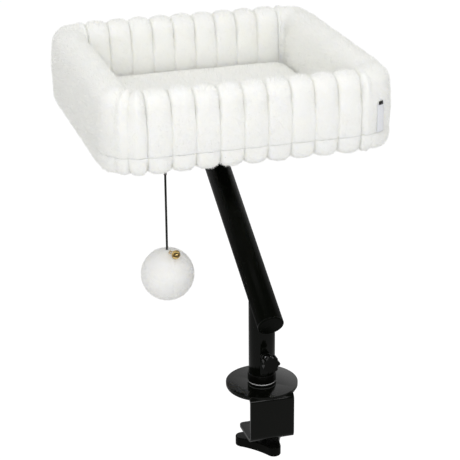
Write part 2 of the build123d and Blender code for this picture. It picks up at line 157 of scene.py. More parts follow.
def noise_of(tree, size, **inputs):
    """Noise on a piece's own coordinates, its grains of a size."""
    place = new_node(tree, "ShaderNodeTexCoord").outputs["Object"]
    scale = math_node(tree, "DIVIDE", 1.0, size)
    return new_node(tree, "ShaderNodeTexNoise", {"Vector": place, "Scale": scale, **inputs}).outputs["Fac"]


fine = noise_of(finish_group, given["Grain size"], Detail=2)
patches = noise_of(finish_group, given["Patch size"], Detail=5)
spread = new_node(finish_group, "ShaderNodeMapRange", {
    "Value": patches, "From Min": 0.35, "From Max": 0.65,
    "To Min": given["Smooth"], "To Max": given["Rough"]}).outputs["Result"]
tint = new_node(finish_group, "ShaderNodeMix", {
    "Factor": patches, "A": given["Color"], "B": given["Worn color"]}, data_type="RGBA").outputs["Result"]
feed(finish_group, out, {"Height": fine, "Roughness": spread, "Color": tint})


def hard_finish(name, color, worn, smooth, rough, grain, patch, bump, metallic=0.0, specular=0.5):
    """A hard surface with a fine grain, and patches that are a little rougher and another tint."""
    material, surface = shader(name, color, smooth, metallic, specular)
    tree = material.node_tree
    finish = new_node(tree, "ShaderNodeGroup", {
        "Grain size": grain, "Patch size": patch, "Smooth": smooth, "Rough": rough,
        "Color": (*color, 1), "Worn color": (*worn, 1)}, node_tree=finish_group).outputs
    relief = new_node(tree, "ShaderNodeBump", {
        "Strength": 0.35, "Distance": bump, "Height": finish["Height"]})
    feed(tree, surface, {
        "Base Color": finish["Color"], "Roughness": finish["Roughness"], "Normal": relief.outputs[0]})
    return material


mm = 0.001
powder_coat = hard_finish("black_powder_coat", (0.0016, 0.002, 0.0012), (0.0024, 0.0028, 0.002), smooth=0.09,
                          rough=0.14, grain=1.4 * mm, patch=30 * mm, bump=0.01 * mm, specular=0.2)
softened("clamp_bracket", "bracket", 0.8 * mm, powder_coat, "clamp_base", segments=3)

# Rubber sheet under the round plate: die-cut from ribless black sheet and glued on. The pressure pad on
# the clamp's screw is the same rubber.
rubber = hard_finish("black_rubber", (0.014, 0.014, 0.014), (0.022, 0.021, 0.02), smooth=0.6, rough=0.8,
                     grain=0.6 * mm, patch=20 * mm, bump=0.06 * mm, specular=0.3)
softened("desk_pad", "desk_rubber", 0.3 * mm, rubber, "clamp_base")
softened("pressure_pad", "pressure_rubber", 0.2 * mm, rubber, "pressure_pad")

# Small steel parts of the clamp: the nut welded on the lower jaw, the pressure plate, the swivel's bar
# and bolt. All are zinc plated, with the faint cloudiness of plating.
zinc = hard_finish("zinc_plating", (0.62, 0.63, 0.64), (0.5, 0.51, 0.5), smooth=0.24, rough=0.42,
                   grain=0.5 * mm, patch=8 * mm, bump=0.02 * mm, metallic=1.0)
softened("jaw_nut", "jaw_nut_plated", 0.4 * mm, zinc, "clamp_base")
softened("pressure_plate", "pressure_plate_plated", 0.3 * mm, zinc, "pressure_pad")
softened("swivel_spigot", "spigot_plated", 0.3 * mm, zinc, "clamp_base")
softened("spigot_bolt", "spigot_bolt_plated", 0.2 * mm, zinc, "clamp_base")


# Clamp screw: M10 rod with a rolled thread, its reduced tip riveted in the pressure plate. The lobed
# knob is moulded on its foot.
def threaded_rod(start, end, radius, pitch, tip_radius=0.0, tip_length=0.0):
    """A rod from start to end with a helical thread, and where asked a plain tip beyond its end."""
    axis = (end - start).normalized()
    length = (end - start).length
    side = axis.orthogonal().normalized()
    other = axis.cross(side)
    around, per_turn = 28, 6
    facings = []
    for step in range(around):
        turn = 2 * pi * step / around
        facings.append(side * cos(turn) + other * sin(turn))
    rows = round(length / pitch * per_turn)
    groove, flank = 0.61 * pitch, 1.25
    chamfer, chamfer_run = 0.4 * mm, 0.6 * mm
    rings = []
    for row in range(rows + 1):
        along = length * row / rows
        to_end = min(along, length - along)
        runout = min(1.0, to_end / pitch)
        end_soft = chamfer * max(0.0, 1 - to_end / chamfer_run)
        ring = []
        for step, facing in enumerate(facings):
            place = (along / pitch - step / around) % 1
            depth = groove * runout * max(0.0, 1 - abs(2 * place - 1) * flank)
            ring.append(start + axis * along + facing * (radius - depth - end_soft))
        rings.append(ring)
    if tip_radius:
        shoulder = 0.01 * mm
        for along in (length + shoulder, length + tip_length):
            rings.append([start + axis * along + facing * tip_radius for facing in facings])
    return closed_mesh("threaded_rod", rings)


def outward_mesh(name, points, faces, end_sides=0):
    """A smooth mesh with its faces outwards, without the end faces, which have so many sides."""
    mesh = bpy.data.meshes.new(name)
    mesh.from_pydata(points, [], faces)
    shape = bmesh.new()
    shape.from_mesh(mesh)
    bmesh.ops.recalc_face_normals(shape, faces=shape.faces)
    for face in shape.faces:
        face.smooth = True
    if end_sides:
        ends = [face for face in shape.faces if len(face.verts) == end_sides]
        bmesh.ops.delete(shape, geom=ends, context="FACES_ONLY")
    shape.to_mesh(mesh)
    shape.free()
    return mesh


def closed_mesh(name, rings, ends=True):
    """A mesh through rings of equal length, its two ends filled or left open."""
    around = len(rings[0])
    faces = []
    for row in range(len(rings) - 1):
        low, high = row * around, (row + 1) * around
        for step in range(around):
            following = (step + 1) % around
            faces.append((low + step, low + following, high + following, high + step))
    last = (len(rings) - 1) * around
    faces.append(tuple(reversed(range(around))))
    faces.append(tuple(range(last, last + around)))
    return outward_mesh(name, [point for ring in rings for point in ring], faces, 0 if ends else around)


screw_axis_y = -8 * mm
screw_r, screw_pitch = 5 * mm, 1.5 * mm
screw_tip_r, screw_tip = 3.5 * mm, 3 * mm
screw_low, screw_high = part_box("clamp_screw")
screw_foot = Vector((0, screw_axis_y, screw_low[2]))
screw_shoulder = Vector((0, screw_axis_y, screw_high[2] - screw_tip))
rod = threaded_rod(screw_foot, screw_shoulder, screw_r, screw_pitch, screw_tip_r, screw_tip)
piece_from("clamp_screw_threaded", rod, zinc, "clamp_screw", ["clamp_screw"])

# Knobs: black moulded plastic, slightly glossy, with the fine texture of a spark-eroded mould. The
# clamp's knob is a little duller than the star knob and the collar.
moulded = hard_finish("black_moulded_plastic", (0.0018, 0.002, 0.0014), (0.003, 0.003, 0.0026), smooth=0.16,
                      rough=0.24, grain=0.9 * mm, patch=20 * mm, bump=0.015 * mm, specular=0.14)
knob_plastic = hard_finish("black_knob_plastic", (0.0018, 0.002, 0.0014), (0.003, 0.003, 0.0026), smooth=0.2,
                           rough=0.28, grain=0.9 * mm, patch=20 * mm, bump=0.015 * mm, specular=0.07)
softened("clamp_knob", "clamp_knob_moulded", 0.3 * mm, knob_plastic, "clamp_screw",
         angle=40)

# Swivel: a turned black nylon washer lies on the plate, and on it the satin steel ring that carries the
# post. Both sit round the spigot.
nylon = hard_finish("black_nylon", (0.003, 0.003, 0.003), (0.006, 0.006, 0.006), smooth=0.35, rough=0.5,
                    grain=0.8 * mm, patch=10 * mm, bump=0.02 * mm, specular=0.2)
softened("slide_washer", "slide_washer_turned", 0.2 * mm, nylon, "clamp_base")
satin_steel = hard_finish("satin_steel", (0.93, 0.93, 0.93), (0.88, 0.88, 0.88), smooth=0.5, rough=0.6,
                          grain=0.5 * mm, patch=10 * mm, bump=0.005 * mm, metallic=0.5)
softened("steel_ring", "steel_ring_satin", 0.3 * mm, satin_steel, "clamp_base")

# Post and arm: 35 mm steel tube with a 1.5 mm wall, coped and welded where they cross, ground and
# powder coated, the arm duller than the post. The collar round the post's foot is moulded plastic, and
# the arm's end caps are plastic in the arm's satin coat.
softened("post_tube", "post", 0.2 * mm, powder_coat, "swivel")
softened("post_collar", "collar", 0.3 * mm, moulded, "swivel")
satin_coat = hard_finish("black_satin_coat", (0.0016, 0.002, 0.0012), (0.0024, 0.0028, 0.002), smooth=0.22,
                         rough=0.28, grain=1.4 * mm, patch=30 * mm, bump=0.01 * mm, specular=0.04)
softened("arm_tube", "arm", 0.2 * mm, satin_coat, "swivel")
softened("lower_arm_cap", "lower_cap", 0.3 * mm, satin_coat, "swivel", angle=40)
softened("upper_arm_cap", "upper_cap", 0.3 * mm, satin_coat, "swivel", angle=40)
softened("bed_stem", "stem", 0.2 * mm, powder_coat, "swivel")
softened("mounting_plate", "plate", 0.4 * mm, powder_coat, "swivel")

# Star knob that locks the swivel: a threaded bush in the post, an M8 stud with a nylon tip, and a
# moulded grip of seven lobes.
softened("star_bush", "star_bush_coated", 0.3 * mm, powder_coat, "swivel")
stud_low, stud_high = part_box("star_stud")
stud_axis_z = (stud_low[2] + stud_high[2]) / 2
stud_r, stud_pitch = 4 * mm, 1.25 * mm
stud_inner, stud_outer = Vector((0, stud_high[1], stud_axis_z)), Vector((0, stud_low[1], stud_axis_z))
stud = threaded_rod(stud_inner, stud_outer, stud_r, stud_pitch)
piece_from("star_stud_threaded", stud, zinc, "star_knob", ["star_stud"])
softened("star_knob", "star_grip", 0.3 * mm, moulded, "star_knob", angle=40)
softened("lock_tip", "lock_tip_turned", 0.2 * mm, nylon, "star_knob")

# Bed's fixing: four zinc-plated screws go up through the mounting plate into flanged nuts, which are
# pressed into the plywood board inside the padded floor.
softened("plate_screws", "plate_screws_plated", 0.3 * mm, zinc, "swivel", angle=40)
softened("board_nuts", "board_nuts_plated", 0.2 * mm, zinc, "swivel")
plywood = hard_finish("plywood", (0.55, 0.4, 0.25), (0.48, 0.33, 0.19), smooth=0.6, rough=0.75,
                      grain=2 * mm, patch=20 * mm, bump=0.1 * mm)
softened("base_board", "board", 0.5 * mm, plywood, "swivel")

# Padded shell: short off-white plush sewn in tubes and filled, so that deep narrow grooves part plump
# ribs. The walls, corners and base are made round the tray with the same places of grooves.
bed_low, bed_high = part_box("base_cushion")
bed_floor_z = bed_high[2]
bed_top_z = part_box("front_wall")[1][2]
bed_mid = Vector((0, 0.212, 0))
bed_w, bed_d = 392 * mm, 388 * mm
corner_r = 54 * mm
wall_t = 46 * mm
groove_deep = 9 * mm


def side_ways(side):
    """One side's outward and forward directions, half its straight run, and its reach from the middle."""
    outward = Vector((cos(pi / 2 * side - pi / 2), sin(pi / 2 * side - pi / 2), 0))
    forward = Vector((0, 0, 1)).cross(outward)
    reach = (bed_w if side % 2 else bed_d) / 2
    half_run = (bed_d if side % 2 else bed_w) / 2 - corner_r
    return outward, forward, half_run, reach


# Grooves as (place, depth share): along a run from 0 to 1, round a corner in degrees
ribbed_run = [(rib / 9, 1.0) for rib in range(10)]
rippled_run = [(0, 0.2), (0.17, 0.1), (0.33, 0.14), (0.5, 0.08), (0.66, 0.13), (0.84, 0.1), (1, 0.2)]
run_grooves = [ribbed_run, rippled_run, ribbed_run, rippled_run]
corner_grooves = [
    [(0, 1.0), (17, 0.4), (90, 0.2)],
    [(0, 0.2), (70, 0.3), (90, 1.0)],
    [(0, 1.0), (24, 0.35), (90, 0.2)],
    [(0, 0.2), (43, 0.35), (62, 0.7), (90, 1.0)],
]
rib_steps = (0, 0.03, 0.09, 0.18, 0.3, 0.42, 0.5, 0.58, 0.7, 0.82, 0.91, 0.97)


def rib_places(grooves):
    """Places through a run of ribs, each with its place in its rib and its groove's depth share."""
    places = []
    for (low, low_depth), (high, high_depth) in zip(grooves, grooves[1:]):
        for step in rib_steps:
            places.append((low + (high - low) * step, step, low_depth if step < 0.5 else high_depth))
    return places + [(grooves[-1][0], 1.0, grooves[-1][1])]


def run_stations(side):
    """Stations along a straight side: point on the outer line, outward direction, rib place, its groove's
    depth, and the share of that depth on the inner face, which is less beside a corner."""
    outward, forward, half_run, reach = side_ways(side)
    end = 0.5 * run_grooves[side][1][0]
    return [(bed_mid + outward * reach + forward * half_run * (2 * along - 1), outward, place, depth,
             1.0 if end < along < 1 - end else 0.4) for along, place, depth in rib_places(run_grooves[side])]


def corner_stations(side):
    """Stations round the corner at a side's forward end."""
    outward, forward, half_run, reach = side_ways(side)
    center = bed_mid + outward * (reach - corner_r) + forward * half_run
    stations = []
    for along, place, depth in rib_places(corner_grooves[side]):
        facing = outward * cos(radians(along)) + forward * sin(radians(along))
        stations.append((center + facing * corner_r, facing, place, depth, 0.4))
    return stations


def wall_outline():
    """The wall's cross-section: inward and upward from its outer foot, and how much grooves draw it in.
    Grooves are shallow low on both faces and deepen towards the crest."""
    height, foot, crest, bulge = bed_top_z - bed_floor_z, 0.9 * mm, 25 * mm, 1.6 * mm
    face_rise, under_w = height - foot - crest, wall_t - 2 * foot
    under_steps, foot_steps, face_steps, crest_steps = 6, 3, 14, 20
    points = [(wall_t - foot - under_w * step / under_steps, 0, 0.3) for step in range(under_steps)]
    for step in range(foot_steps):
        turn = radians(90 / foot_steps * step)
        points.append((foot - foot * sin(turn), foot - foot * cos(turn), 0.55))
    for step in range(face_steps):
        share = step / face_steps
        weight = 0.4 + 0.6 * max(0.0, share - 0.55) / 0.45
        points.append((-bulge * sin(pi * share), foot + face_rise * share, weight))
    for step in range(crest_steps):
        turn = pi * step / crest_steps
        weight = 1.0 - 0.12 * step / crest_steps
        points.append((wall_t / 2 * (1 - cos(turn)), height - crest + crest * sin(turn) ** 0.9, weight))
    for step in range(face_steps):
        share = 1 - step / face_steps
        weight = 0.33 + 0.55 * max(0.0, share - 0.5) / 0.5
        points.append((wall_t + bulge * sin(pi * share), foot + face_rise * share, weight))
    for step in range(foot_steps):
        turn = radians(90 - 90 / foot_steps * step)
        points.append((wall_t - foot + foot * sin(turn), foot - foot * cos(turn), 0.5))
    return points


def outline_normals(outline, seam_low, seam_high, closed=True):
    """Outward directions of a cross-section's points, as inward and upward shares. At the seam between the
    walls and the base, from one height to another, they are level, so that the two stay in touch."""
    normals = []
    for index in range(len(outline)):
        before = outline[index - 1 if closed else max(index - 1, 0)]
        after = outline[(index + 1) % len(outline) if closed else min(index + 1, len(outline) - 1)]
        along, rise = after[0] - before[0], after[1] - before[1]
        span = hypot(along, rise)
        if seam_low <= outline[index][1] <= seam_high:
            normals.append((-1 if outline[index][0] < wall_t / 2 else 1, 0))
        else:
            normals.append((-rise / span, along / span))
    return normals


# The groove rule is one geometry tree: it draws each rib in from its crest to its grooves, either as a
# full round rib with a sharp groove or as a soft ripple, and keeps how deep each point lies.
def geometry_tree(name, *inputs):
    """A geometry tree, and the sockets and node at its ends: the geometry, the named inputs, the material."""
    tree = bpy.data.node_groups.new(name, "GeometryNodeTree")
    sockets = [("Geometry", "Geometry", None), *inputs, ("Material", "Material", None)]
    return tree, *group_sockets(tree, sockets, [("Geometry", "Geometry")])


def close_tree(tree, geometry, given, out):
    """Ends a geometry tree: its instances made real, then its material set."""
    real = new_node(tree, "GeometryNodeRealizeInstances", {"Geometry": geometry}).outputs[0]
    covered = new_node(tree, "GeometryNodeSetMaterial", {"Geometry": real, "Material": given["Material"]})
    feed(tree, out, {"Geometry": covered.outputs[0]})


def stored(tree, name, kind="FLOAT"):
    """The attribute that a mesh holds under a name."""
    return new_node(tree, "GeometryNodeInputNamedAttribute", {"Name": name}, data_type=kind).outputs[0]


quilting, given, out = geometry_tree(
    "quilted_ribs", ("Groove depth", "Float", 0.009), ("Fullness", "Float", 2.4), ("Softness", "Float", 0.0),
    ("Unevenness", "Float", 0.0006), ("Seed", "Float", 7.0))
rib_math = partial(math_node, quilting)
across = rib_math("ABSOLUTE", rib_math("MULTIPLY_ADD", stored(quilting, "rib_place"), 2.0, -1.0))
powered = rib_math("POWER", across, given["Fullness"])
rounded = rib_math("POWER", rib_math("MAXIMUM", rib_math("SUBTRACT", 1.0, powered), 0.0),
                   rib_math("DIVIDE", 1.0, given["Fullness"]))
sharp_groove = rib_math("SUBTRACT", 1.0, rounded)
soft_groove = rib_math("MULTIPLY_ADD", rib_math("COSINE", rib_math("MULTIPLY", across, pi)), -0.5, 0.5)
groove_share = new_node(quilting, "ShaderNodeMix", {
    "Factor": given["Softness"], "A": sharp_groove, "B": soft_groove}).outputs["Result"]
cut = rib_math("MULTIPLY", groove_share, stored(quilting, "groove_depth"))
drawn = rib_math("MULTIPLY", cut, given["Groove depth"])
uneven = new_node(quilting, "ShaderNodeTexNoise", {
    "Vector": new_node(quilting, "GeometryNodeInputPosition").outputs[0], "W": given["Seed"], "Scale": 38},
    noise_dimensions="4D")
lumps = rib_math("MULTIPLY", rib_math("SUBTRACT", uneven.outputs[0], 0.5), given["Unevenness"])
lumps = rib_math("MULTIPLY", lumps, rib_math("SUBTRACT", 1.0, groove_share))
offset = new_node(quilting, "ShaderNodeVectorMath", {
    0: stored(quilting, "draw_in", "FLOAT_VECTOR"), "Scale": rib_math("ADD", drawn, lumps)},
    operation="SCALE")
moved = new_node(quilting, "GeometryNodeSetPosition", {
    "Geometry": given["Geometry"], "Offset": offset.outputs[0]})
# The kept groove share also darkens the plush's colour in the grooves, as painted shade.
kept = new_node(quilting, "GeometryNodeStoreNamedAttribute", {
    "Geometry": moved.outputs["Geometry"], "Name": "groove", "Value": cut})
close_tree(quilting, kept.outputs["Geometry"], given, out)


def made_plain(piece, tree=None, settings=()):
    """Runs a geometry tree, or the modifiers there are, and leaves the result as the piece's plain mesh."""
    if tree:
        modifier = piece.modifiers.new(tree.name, "NODES")
        modifier.node_group = tree
        values = {"Material": piece.data.materials[0], **dict(settings)}
        for socket in tree.interface.items_tree:
            if socket.in_out == "INPUT" and socket.name in values:
                modifier[socket.identifier] = values[socket.name]
    graph = bpy.context.evaluated_depsgraph_get()
    finished = piece.evaluated_get(graph)
    mesh = bpy.data.meshes.new_from_object(finished, preserve_all_data_layers=True, depsgraph=graph)
    piece.modifiers.clear()
    piece.data = mesh
    return piece


def quilted(cover, fullness, softness, unevenness, seed):
    """Draws a cover in at its grooves."""
    return made_plain(cover, quilting, {
        "Groove depth": groove_deep, "Fullness": fullness, "Softness": softness, "Unevenness": unevenness,
        "Seed": seed})


def filled(piece, pinned, pressure, most):
    """Fills a sewn cover as cloth under pressure, its seams held, no point moving further than the most."""
    frames = 20
    seam = piece.vertex_groups.new(name="seams")
    seam.add(pinned, 1.0, "REPLACE")
    start = [vertex.co.copy() for vertex in piece.data.vertices]
    cloth = piece.modifiers.new("filling", "CLOTH")
    cloth.settings.use_pressure = True
    cloth.settings.uniform_pressure_force = pressure
    cloth.settings.vertex_group_mass = "seams"
    cloth.settings.effector_weights.gravity = 0
    cloth.settings.quality = 4
    cloth.settings.mass = 0.2
    cloth.settings.bending_stiffness = 0.2
    cloth.collision_settings.use_collision = False
    cloth.point_cache.frame_start = 1
    cloth.point_cache.frame_end = frames
    for step in range(1, frames + 1):
        scene.frame_set(step)
    graph = bpy.context.evaluated_depsgraph_get()
    result = piece.evaluated_get(graph).data
    for vertex, before, after in zip(piece.data.vertices, start, [v.co.copy() for v in result.vertices]):
        step = after - before
        if step.length > most:
            step *= most / step.length
        vertex.co = before + step
    piece.modifiers.clear()
    piece.vertex_groups.clear()
    scene.frame_set(1)


def ruffled(piece, size, height):
    """Lifts and lowers a smooth piece's points by a little noise, as pile lies unevenly."""
    for vertex, normal in zip(piece.data.vertices, [v.normal.copy() for v in piece.data.vertices]):
        vertex.co += normal * height * noise.noise(vertex.co / size)


def smoothed(piece):
    """One subdivision, kept in the mesh, whose open ends are then closed."""
    finer = piece.modifiers.new("finer", "SUBSURF")
    finer.levels = finer.render_levels = 1
    finer.use_limit_surface = False
    made_plain(piece)
    shape = bmesh.new()
    shape.from_mesh(piece.data)
    bmesh.ops.holes_fill(shape, edges=[edge for edge in shape.edges if edge.is_boundary], sides=0)
    bmesh.ops.recalc_face_normals(shape, faces=shape.faces)
    shape.to_mesh(piece.data)
    shape.free()


# Plush: a warm white pile about 3 mm long. Its tufts lie in small clumps that catch the light, and its
# colour is painted a little darker and creamier down in the grooves, as painted shade.
pile_group = bpy.data.node_groups.new("plush_pile", "ShaderNodeTree")
given, out = group_sockets(pile_group, [("Tuft size", "Float", 0.002), ("Clump size", "Float", 0.012)],
                           [("Height", "Float"), ("Shade", "Float")])
pile_math = partial(math_node, pile_group)
tufts = noise_of(pile_group, given["Tuft size"], Detail=4, Roughness=0.65, Distortion=0.6)
clumps = noise_of(pile_group, given["Clump size"], Detail=3, Distortion=1.2)
feed(pile_group, out, {
    "Height": pile_math("MULTIPLY_ADD", clumps, 2.2, tufts),
    "Shade": pile_math("MULTIPLY_ADD", tufts, 0.5, pile_math("MULTIPLY", clumps, 0.5))})


def plush(name, light, deep, tuft, clump, relief_height):
    """Pile fabric: light at the tufts' tips, deeper between them, with painted shade darkening the grooves.
    """
    material, surface = shader(name, light, 0.9, specular=0.15)
    tree = material.node_tree
    pile = new_node(tree, "ShaderNodeGroup", {"Tuft size": tuft, "Clump size": clump}, node_tree=pile_group)
    groove = new_node(tree, "ShaderNodeAttribute", attribute_name="groove").outputs["Fac"]
    # Painted shade: the colour darkens towards the bottom of each groove, following the kept groove share.
    low = math_node(tree, "MULTIPLY", math_node(tree, "POWER", groove, 2.0), 0.55)
    between = new_node(tree, "ShaderNodeMapRange", {
        "Value": pile.outputs["Shade"], "From Min": 0.62, "From Max": 0.36, "To Max": 0.45})
    share = math_node(tree, "MAXIMUM", between.outputs["Result"], low)
    tuft_tone_and_groove_shade = new_node(tree, "ShaderNodeMix", {
        "Factor": share, "A": (*light, 1), "B": (*deep, 1)}, data_type="RGBA")
    relief = new_node(tree, "ShaderNodeBump", {
        "Strength": 0.5, "Distance": relief_height, "Height": pile.outputs["Height"]})
    feed(tree, surface, {
        "Subsurface Weight": 0.6, "Subsurface Radius": (1.0, 0.95, 0.8), "Subsurface Scale": 0.008,
        "Sheen Weight": 0.25, "Sheen Roughness": 0.6,
        "Base Color": tuft_tone_and_groove_shade.outputs["Result"], "Normal": relief.outputs[0]})
    return material


bed_plush = plush("bed_plush", (0.97, 0.972, 0.934), (0.966, 0.96, 0.905), tuft=2.2 * mm, clump=11 * mm,
                  relief_height=0.6 * mm)


# The pile's tips stand out of the fabric: slender closed cones of three sides, strewn over the faces whose
# facing, from -1 down to 1 up, is between two limits. They vary in length and lean apart.
pile_tree, given, out = geometry_tree(
    "pile_tips", ("Spacing", "Float", 0.0016), ("Tip length", "Float", 0.003),
    ("Tip radius", "Float", 0.0005), ("Lean", "Float", 0.5), ("Lowest facing", "Float", -0.5),
    ("Highest facing", "Float", 2.0), ("Seed", "Int", 5))
tip_math = partial(math_node, pile_tree)
normal = new_node(pile_tree, "GeometryNodeInputNormal").outputs[0]
facing = new_node(pile_tree, "ShaderNodeSeparateXYZ", {0: normal}).outputs["Z"]
chosen = tip_math("MULTIPLY", tip_math("GREATER_THAN", facing, given["Lowest facing"]),
                  tip_math("LESS_THAN", facing, given["Highest facing"]))
strewn = new_node(pile_tree, "GeometryNodeDistributePointsOnFaces", {
    "Mesh": given["Geometry"], "Selection": chosen, "Distance Min": given["Spacing"], "Density Max": 1e6,
    "Seed": given["Seed"]}, distribute_method="POISSON")
cone = new_node(pile_tree, "GeometryNodeMeshCone", {"Vertices": 3, "Radius Bottom": 1.0, "Depth": 1.0})
rooted = new_node(pile_tree, "GeometryNodeTransform", {
    "Geometry": cone.outputs["Mesh"], "Translation": (0, 0, -0.15)})
swing = new_node(pile_tree, "FunctionNodeRandomValue", {
    0: tip_math("MULTIPLY", given["Lean"], -1.0), 1: given["Lean"], "Seed": given["Seed"]},
    data_type="FLOAT_VECTOR")
leaning = new_node(pile_tree, "FunctionNodeRotateRotation", {
    0: strewn.outputs["Rotation"], 1: swing.outputs[0]}, rotation_space="LOCAL")
size = new_node(pile_tree, "ShaderNodeCombineXYZ", {
    "X": given["Tip radius"], "Y": given["Tip radius"], "Z": given["Tip length"]})
spread = new_node(pile_tree, "FunctionNodeRandomValue", {2: 0.6, 3: 1.3, "Seed": given["Seed"]})
varied = new_node(pile_tree, "ShaderNodeVectorMath", {
    0: size.outputs["Vector"], "Scale": spread.outputs[1]}, operation="SCALE")
grown = new_node(pile_tree, "GeometryNodeInstanceOnPoints", {
    "Points": strewn.outputs["Points"], "Instance": rooted.outputs["Geometry"],
    "Rotation": leaning.outputs[0], "Scale": varied.outputs[0]})
close_tree(pile_tree, grown.outputs["Instances"], given, out)


def piled(cover, name, body, material, low=-0.5, high=2.0, spacing=0.0016, length=0.003):
    """The pile's tips on a cover, as a piece beside it."""
    tips = piece_from(name, cover.data.copy(), material, body)
    return made_plain(tips, pile_tree, {
        "Spacing": spacing, "Tip length": length, "Tip radius": 0.0005, "Lean": 0.5,
        "Lowest facing": low, "Highest facing": high, "Seed": 5})


def rib_data(mesh, places, depths, inward):
    """Keeps each point's place in its rib, its groove's depth and the direction that grooves draw it in."""
    mesh.attributes.new("rib_place", "FLOAT", "POINT").data.foreach_set("value", places)
    mesh.attributes.new("groove_depth", "FLOAT", "POINT").data.foreach_set("value", depths)
    flat = [share for direction in inward for share in direction]
    mesh.attributes.new("draw_in", "FLOAT_VECTOR", "POINT").data.foreach_set("vector", flat)


def padded_wall(name, stations, node, softness, seed):
    """One wall or corner between its end grooves, from its plain section to its filled ribs."""
    outline = wall_outline()
    normals = outline_normals(outline, 0, 1 * mm)
    rings, places, depths, inward = [], [], [], []
    for point, outward, place, depth, inner in stations:
        ring = []
        for (deep, rise, weight), (normal_in, normal_up) in zip(outline, normals):
            ring.append(point - outward * deep + Vector((0, 0, bed_floor_z + rise)))
            places.append(place)
            depths.append(depth)
            weight *= 1 + (inner - 1) * min(1.0, max(0.0, deep / wall_t - 0.3) / 0.5)
            inward.append((outward * normal_in - Vector((0, 0, normal_up))) * weight)
        rings.append(ring)
    mesh = closed_mesh(name, rings, ends=False)
    rib_data(mesh, places, depths, inward)
    wall = piece_from(name, mesh, bed_plush, "swivel", [node])
    quilted(wall, fullness=2.5, softness=softness, unevenness=1.4 * mm, seed=seed)
    groove_rings = [row for row, station in enumerate(stations) if station[2] in (0, 1.0)]
    around = len(outline)
    pinned = [row * around + step for row in groove_rings for step in range(around)]
    filled(wall, pinned, pressure=3.0, most=3.5 * mm)
    smoothed(wall)
    ruffled(wall, 7 * mm, 0.35 * mm)
    piled(wall, name.split("_", 1)[1] + "_pile", "swivel", bed_plush)


sides = ("front", "right", "back", "left")
corners = ("front_right", "back_right", "back_left", "front_left")
for side in range(4):
    soft = 1.0 if side % 2 else 0.1
    padded_wall("ribbed_" + sides[side], run_stations(side), sides[side] + "_wall", soft, 3.0 + side)
    padded_wall("rolled_" + corners[side], corner_stations(side), corners[side] + "_corner", 0.7, 11.0 + side)

# Foam slabs: one stands in a pocket of each wall and keeps it upright. They are cut from a sheet of soft
# open-cell foam.
foam = hard_finish("open_cell_foam", (0.85, 0.83, 0.74), (0.8, 0.76, 0.64), smooth=0.8, rough=0.95,
                   grain=1.2 * mm, patch=20 * mm, bump=0.4 * mm)
for side in sides:
    softened(side + "_foam", side + "_slab", 2 * mm, foam, "swivel")


# Base cushion: the padded floor. The ribs run on round its edge, under a shallow crease below the walls,
# and end in deep round lobes at its lower edge.
def base_profile():
    """The base's edge from its underside to its top: inset, height and how much grooves draw it in."""
    thick = bed_floor_z - bed_low[2]
    low_r, top_r, bulge = 11 * mm, 0.9 * mm, 0.8 * mm
    lobe_steps, side_steps, top_steps = 6, 3, 4
    under = ((70, 0), (45, 0), (32, 0.15), (24, 0.5), (17, 0.95))
    points = [(inset * mm, 0, weight) for inset, weight in under]
    for step in range(lobe_steps + 1):
        turn = radians(90 * step / lobe_steps)
        points.append((low_r - low_r * sin(turn), low_r - low_r * cos(turn), 1.4 - 0.4 * step / lobe_steps))
    for step in range(1, side_steps):
        rise = low_r + (thick - low_r - top_r) * step / side_steps
        points.append((-bulge * sin(pi * step / side_steps), rise, 1.0 - 0.45 * step / side_steps))
    for step in range(top_steps + 1):
        turn = radians(90 * step / top_steps)
        points.append((top_r * (1 - cos(turn)), thick - top_r + top_r * sin(turn), 0.55))
    return points + [(12 * mm, thick, 0.3), (30 * mm, thick, 0), (70 * mm, thick, 0)]


loop = []
for side in range(4):
    loop += run_stations(side)[:-1] + corner_stations(side)[:-1]
profile = base_profile()
wall_seam_low, wall_seam_high = 23 * mm, 24.1 * mm
profile_normals = outline_normals(profile, wall_seam_low, wall_seam_high, closed=False)
farthest_inset = corner_r - 8 * mm
half_diagonal = hypot(bed_w / 2, bed_w / 2)
rings, places, depths, inward = [], [], [], []
for (inset, rise, weight), (normal_in, normal_up) in zip(profile, profile_normals):
    ring = []
    for point, outward, place, depth, inner in loop:
        if inset > farthest_inset:
            spot = bed_mid + (point - bed_mid) * (1 - inset / half_diagonal)
        else:
            spot = point - outward * inset
        ring.append(spot + Vector((0, 0, bed_low[2] + rise)))
        places.append(place)
        depths.append(depth)
        inward.append((outward * normal_in - Vector((0, 0, normal_up))) * weight)
    rings.append(ring)
base_mesh = closed_mesh("ribbed_base", rings, ends=False)
rib_data(base_mesh, places, depths, inward)
base = piece_from("ribbed_base", base_mesh, bed_plush, "swivel", ["base_cushion"])
quilted(base, fullness=2.3, softness=0.0, unevenness=1.2 * mm, seed=21.0)
smoothed(base)
ruffled(base, 7 * mm, 0.3 * mm)
piled(base, "base_pile", "swivel", bed_plush, low=-0.95, high=0.6)


# Loose mat: it lies on the tray's floor and isn't fixed. Two plush panels are sewn edge to edge round a
# thin filling.
def round_square(width, depth, radius, corner_steps=14, run_steps=24):
    """Points round a rectangle with round corners, and their outward directions."""
    centers = [Vector((across * (width / 2 - radius), along * (depth / 2 - radius), 0))
               for across, along in ((1, 1), (-1, 1), (-1, -1), (1, -1))]
    points = []
    for quarter, center in enumerate(centers):
        for step in range(corner_steps + 1):
            turn = pi / 2 * (quarter + step / corner_steps)
            facing = Vector((cos(turn), sin(turn), 0))
            points.append((center + facing * radius, facing))
        following = centers[(quarter + 1) % 4]
        for step in range(1, run_steps):
            points.append((center.lerp(following, step / run_steps) + facing * radius, facing))
    return points


